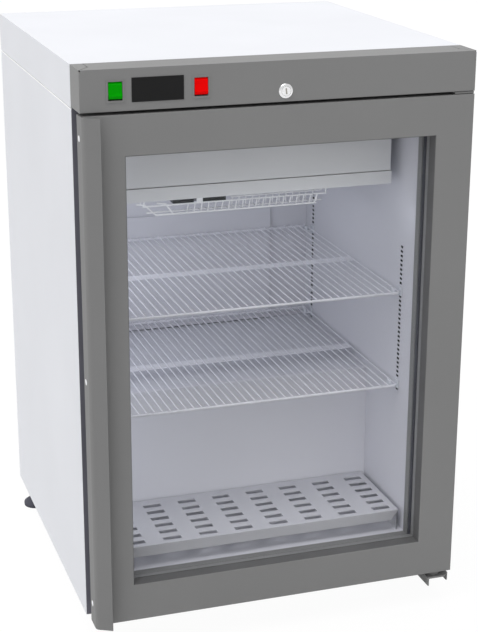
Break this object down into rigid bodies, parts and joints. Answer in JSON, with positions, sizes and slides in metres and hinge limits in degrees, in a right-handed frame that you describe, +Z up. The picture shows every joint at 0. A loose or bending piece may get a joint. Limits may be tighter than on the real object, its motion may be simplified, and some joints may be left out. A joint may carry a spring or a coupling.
{
  "type": "refrigerator",
  "caption": "Under-counter caviar refrigerator: framed glass door with a full-height pull, controls above it, wire shelves, slotted base tray, ceiling evaporator and rear machine bay.",
  "frame": {"origin": "centre of the footprint (handle to back, side to side), on the floor under the feet", "axes": "+Z up, +Y from the door to the back, +X to the viewer's right when facing the door"},
  "size_m": [0.6, 0.634, 0.911],
  "materials": {
    "white_steel": "satin powder coat",
    "grey_steel": "satin powder coat",
    "liner_steel": "satin powder coat",
    "galvanised": "dull zinc",
    "zinc": "zinc plated",
    "chrome": "bright",
    "aluminium": "mill",
    "copper": "drawn copper tube",
    "wire_coat": "dipped coat on wire",
    "foam": "rigid foam",
    "dark_plastic": "matte",
    "black_plastic": "matte",
    "switch_plastic": "matte",
    "clear_plastic": "milky clear",
    "green_plastic": "glossy",
    "red_plastic": "glossy",
    "rubber": "matte",
    "glass": "clear"
  },
  "bodies": {
    "cabinet": {"top_cover": "white_steel", "side_panel_left": "white_steel", "side_panel_right": "white_steel", "rear_panel": "galvanised", "rear_grille": "galvanised", "base_plate": "galvanised", "front_frame": "grey_steel", "foam_insulation": "foam", "liner_left": "liner_steel", "liner_right": "liner_steel", "liner_back": "liner_steel", "liner_base": "liner_steel", "shelf_upper": "wire_coat", "shelf_lower": "wire_coat", "bottom_tray": "liner_steel", "evaporator_housing": "liner_steel", "drip_tray": "liner_steel", "evaporator_coil": "aluminium", "evaporator_fan_frame": "black_plastic", "fan_guard": "wire_coat", "air_duct_cover": "liner_steel", "compressor": "black_plastic", "condenser": "aluminium", "condenser_shroud": "galvanised", "condenser_fan_motor": "black_plastic", "refrigerant_pipe": "copper", "power_inlet": "black_plastic", "fascia": "grey_steel", "controller": "black_plastic", "green_switch_body": "switch_plastic", "red_switch_body": "switch_plastic", "lock_body": "chrome", "upper_hinge_bracket": "grey_steel", "lower_hinge_bracket": "grey_steel", "shelf_clip_upper_front_left": "clear_plastic", "shelf_clip_upper_front_right": "clear_plastic", "shelf_clip_upper_rear_left": "clear_plastic", "shelf_clip_upper_rear_right": "clear_plastic", "shelf_clip_lower_front_left": "clear_plastic", "shelf_clip_lower_front_right": "clear_plastic", "shelf_clip_lower_rear_left": "clear_plastic", "shelf_clip_lower_rear_right": "clear_plastic"},
    "door": {"door_frame": "grey_steel", "door_inner_frame": "dark_plastic", "outer_pane": "glass", "inner_pane": "glass", "spacer_frame": "aluminium", "door_gasket": "rubber", "door_handle": "grey_steel", "upper_hinge_bush": "black_plastic", "lower_hinge_bush": "black_plastic"},
    "lock": {"lock_barrel": "chrome"},
    "green_rocker": {"green_rocker": "green_plastic"},
    "red_rocker": {"red_rocker": "red_plastic"},
    "evaporator_fan": {"evaporator_fan_rotor": "black_plastic"},
    "condenser_fan": {"condenser_fan_rotor": "aluminium"},
    "foot_front_left": {"foot_front_left": "dark_plastic"},
    "foot_front_right": {"foot_front_right": "dark_plastic"},
    "foot_rear_left": {"foot_rear_left": "dark_plastic"},
    "foot_rear_right": {"foot_rear_right": "dark_plastic"}
  },
  "joints": [
    {"name": "door_hinge", "type": "hinge", "parent": "cabinet", "child": "door", "pos_m": [0.276, -0.277, 0.45], "axis": [0, 0, 1], "range_deg": [0, 110]},
    {"name": "lock_turn", "type": "hinge", "parent": "cabinet", "child": "lock", "pos_m": [0.0008, -0.285, 0.867], "axis": [0, 1, 0], "range_deg": [0, 90]},
    {"name": "green_rocker_tilt", "type": "hinge", "parent": "cabinet", "child": "green_rocker", "pos_m": [-0.2492, -0.287, 0.88], "axis": [1, 0, 0], "range_deg": [0, 12]},
    {"name": "red_rocker_tilt", "type": "hinge", "parent": "cabinet", "child": "red_rocker", "pos_m": [-0.1254, -0.287, 0.88], "axis": [1, 0, 0], "range_deg": [0, 12]},
    {"name": "evaporator_fan_spin", "type": "hinge", "parent": "cabinet", "child": "evaporator_fan", "pos_m": [-0.0585, -0.02, 0.666], "axis": [0, 0, 1], "continuous": true},
    {"name": "condenser_fan_spin", "type": "hinge", "parent": "cabinet", "child": "condenser_fan", "pos_m": [-0.16, 0.107, 0.162], "axis": [0, 1, 0], "continuous": true},
    {"name": "foot_front_left_turn", "type": "hinge", "parent": "cabinet", "child": "foot_front_left", "pos_m": [-0.245, -0.145, 0.02], "axis": [0, 0, 1], "continuous": true},
    {"name": "foot_front_right_turn", "type": "hinge", "parent": "cabinet", "child": "foot_front_right", "pos_m": [0.245, -0.145, 0.02], "axis": [0, 0, 1], "continuous": true},
    {"name": "foot_rear_left_turn", "type": "hinge", "parent": "cabinet", "child": "foot_rear_left", "pos_m": [-0.279, 0.283, 0.02], "axis": [0, 0, 1], "continuous": true},
    {"name": "foot_rear_right_turn", "type": "hinge", "parent": "cabinet", "child": "foot_rear_right", "pos_m": [0.279, 0.283, 0.02], "axis": [0, 0, 1], "continuous": true}
  ]
}
